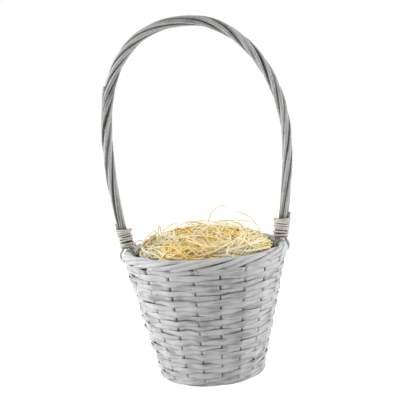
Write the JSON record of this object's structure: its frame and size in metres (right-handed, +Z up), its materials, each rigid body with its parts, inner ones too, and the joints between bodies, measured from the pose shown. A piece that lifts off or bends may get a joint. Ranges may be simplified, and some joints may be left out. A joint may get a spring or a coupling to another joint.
{
  "type": "wicker egg basket",
  "caption": "Small round wicker basket with woven sides, a rolled border, a tall twisted bow handle held by bound eyes, and a lift-out bed of straw.",
  "frame": {"origin": "on the floor, at the middle of the ring that the basket stands on", "axes": "+Z up along the basket's axis, +X along the bow from its left foot to its right foot, -Y towards the front of the picture"},
  "size_m": [0.2379, 0.204, 0.4514],
  "materials": {
    "base_willow": "matte",
    "wall_willow": "matte",
    "handle_willow": "matte",
    "binding_cane": "matte",
    "straw": "matte"
  },
  "bodies": {
    "basket": {"split_stick_1": "base_willow", "split_stick_2": "base_willow", "split_stick_3": "base_willow", "cross_stick_1": "base_willow", "cross_stick_2": "base_willow", "base_weave": "base_willow", "foot_wale": "wall_willow", "stake_01": "wall_willow", "stake_02": "wall_willow", "stake_03": "wall_willow", "stake_04": "wall_willow", "stake_05": "wall_willow", "stake_06": "wall_willow", "stake_07": "wall_willow", "stake_08": "wall_willow", "stake_09": "wall_willow", "stake_10": "wall_willow", "stake_11": "wall_willow", "stake_12": "wall_willow", "stake_13": "wall_willow", "stake_14": "wall_willow", "stake_15": "wall_willow", "stake_16": "wall_willow", "stake_17": "wall_willow", "stake_18": "wall_willow", "stake_19": "wall_willow", "stake_20": "wall_willow", "weaver_row_01": "wall_willow", "weaver_row_02": "wall_willow", "weaver_row_03": "wall_willow", "weaver_row_04": "wall_willow", "weaver_row_05": "wall_willow", "weaver_row_06": "wall_willow", "weaver_row_07": "wall_willow", "weaver_row_08": "wall_willow", "weaver_row_09": "wall_willow", "weaver_row_10": "wall_willow", "weaver_row_11": "wall_willow", "weaver_row_12": "wall_willow", "weaver_row_13": "wall_willow", "weaver_row_14": "wall_willow", "weaver_row_15": "wall_willow", "weaver_row_16": "wall_willow", "weaver_row_17": "wall_willow", "weaver_row_18": "wall_willow", "weaver_row_19": "wall_willow", "weaver_row_20": "wall_willow", "weaver_row_21": "wall_willow", "weaver_row_22": "wall_willow"},
    "handle": {"bow_core": "handle_willow", "bow_strand_1": "handle_willow", "bow_strand_2": "handle_willow", "bow_strand_3": "handle_willow", "bow_strand_4": "handle_willow", "bow_strand_5": "handle_willow", "left_eye": "handle_willow", "right_eye": "handle_willow", "left_binding": "binding_cane", "right_binding": "binding_cane"},
    "straw": {"straw_bed": "straw"}
  },
  "joints": [
    {"name": "handle_tilt", "type": "hinge", "parent": "basket", "child": "handle", "pos_m": [0, 0, 0.157], "axis": [1, 0, 0], "range_deg": [-12, 12]},
    {"name": "straw_lift", "type": "slide", "parent": "basket", "child": "straw", "axis": [0, 0, 1], "range_m": [0, 0.17]}
  ]
}
